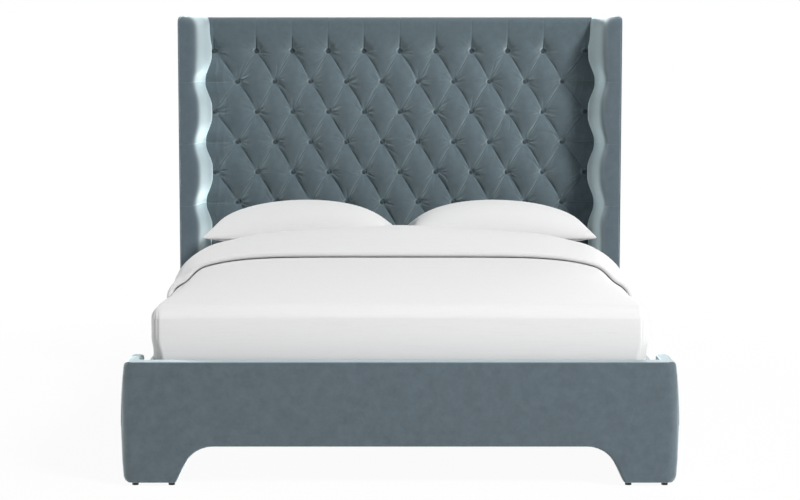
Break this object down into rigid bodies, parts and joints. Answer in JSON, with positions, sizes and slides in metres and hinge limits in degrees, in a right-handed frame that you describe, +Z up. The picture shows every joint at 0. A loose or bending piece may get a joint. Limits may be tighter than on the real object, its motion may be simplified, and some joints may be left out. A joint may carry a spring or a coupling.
{
  "type": "upholstered bed",
  "caption": "Upholstered bed with a winged, diamond-tufted headboard, arched footboard, slat base and made-up bedding.",
  "frame": {"origin": "on the floor, in the middle of the bed's length and width", "axes": "+Z up, +Y towards the headboard, +X to the right seen from the foot end"},
  "size_m": [1.778, 2.21, 1.48],
  "materials": {
    "tufted_velvet": "blue-grey velvet, deep buttoned",
    "button_velvet": "covered button, velvet",
    "back_velvet": "blue-grey velvet, flat",
    "wing_velvet": "blue-grey velvet, padded",
    "wing_side_velvet": "blue-grey velvet, stretched",
    "welt_velvet": "covered welt cord, velvet",
    "footboard_velvet": "blue-grey velvet, padded",
    "rail_velvet": "blue-grey velvet, stretched",
    "frame_wood": "sawn softwood and plywood, unfinished",
    "slat_wood": "planed softwood, unfinished",
    "zinc_steel": "zinc plated",
    "black_glide": "moulded, matt black",
    "mattress_ticking": "woven ticking, white",
    "coverlet_cotton": "white cotton, matt",
    "duvet_cotton": "white cotton, matt",
    "pillow_cotton": "white cotton, matt"
  },
  "bodies": {
    "bed_frame": {"beam_hanger_foot": "zinc_steel", "beam_hanger_head": "zinc_steel", "bracket_bolts": "zinc_steel", "centre_beam": "frame_wood", "centre_leg_1": "frame_wood", "centre_leg_2": "frame_wood", "centre_leg_3": "frame_wood", "centre_leg_feet": "black_glide", "corner_bracket_foot_left": "zinc_steel", "corner_bracket_foot_right": "zinc_steel", "corner_bracket_head_left": "zinc_steel", "corner_bracket_head_right": "zinc_steel", "footboard_board": "frame_wood", "footboard_cheek_board_left": "frame_wood", "footboard_cheek_board_right": "frame_wood", "footboard_cover": "footboard_velvet", "footboard_glides": "black_glide", "headboard_back_cover": "back_velvet", "headboard_backing_board": "frame_wood", "headboard_bottom_rail": "frame_wood", "headboard_glides": "black_glide", "headboard_middle_rail": "frame_wood", "headboard_post_left": "frame_wood", "headboard_post_right": "frame_wood", "headboard_top_rail": "frame_wood", "headboard_tufted_panel": "tufted_velvet", "side_rail_board_left": "frame_wood", "side_rail_board_right": "frame_wood", "side_rail_cover_left": "rail_velvet", "side_rail_cover_right": "rail_velvet", "slat_01": "slat_wood", "slat_02": "slat_wood", "slat_03": "slat_wood", "slat_04": "slat_wood", "slat_05": "slat_wood", "slat_06": "slat_wood", "slat_07": "slat_wood", "slat_08": "slat_wood", "slat_09": "slat_wood", "slat_10": "slat_wood", "slat_11": "slat_wood", "slat_12": "slat_wood", "slat_13": "slat_wood", "slat_14": "slat_wood", "slat_cleat_left": "frame_wood", "slat_cleat_right": "frame_wood", "tufting_buttons": "button_velvet", "wing_board_left": "frame_wood", "wing_board_right": "frame_wood", "wing_outer_cover_left": "wing_side_velvet", "wing_outer_cover_right": "wing_side_velvet", "wing_padding_left": "wing_velvet", "wing_padding_right": "wing_velvet", "wing_welt_left": "welt_velvet", "wing_welt_right": "welt_velvet"},
    "made_mattress": {"mattress": "mattress_ticking", "coverlet": "coverlet_cotton", "duvet_turn_down": "duvet_cotton"},
    "pillow_left": {"pillow_left": "pillow_cotton"},
    "pillow_right": {"pillow_right": "pillow_cotton"}
  },
  "joints": [
    {"name": "mattress_lift", "type": "slide", "parent": "bed_frame", "child": "made_mattress", "axis": [0, 0, 1], "range_m": [0, 0.35]},
    {"name": "pillow_left_lift", "type": "slide", "parent": "made_mattress", "child": "pillow_left", "axis": [0, 0, 1], "range_m": [0, 0.4]},
    {"name": "pillow_right_lift", "type": "slide", "parent": "made_mattress", "child": "pillow_right", "axis": [0, 0, 1], "range_m": [0, 0.4]}
  ]
}
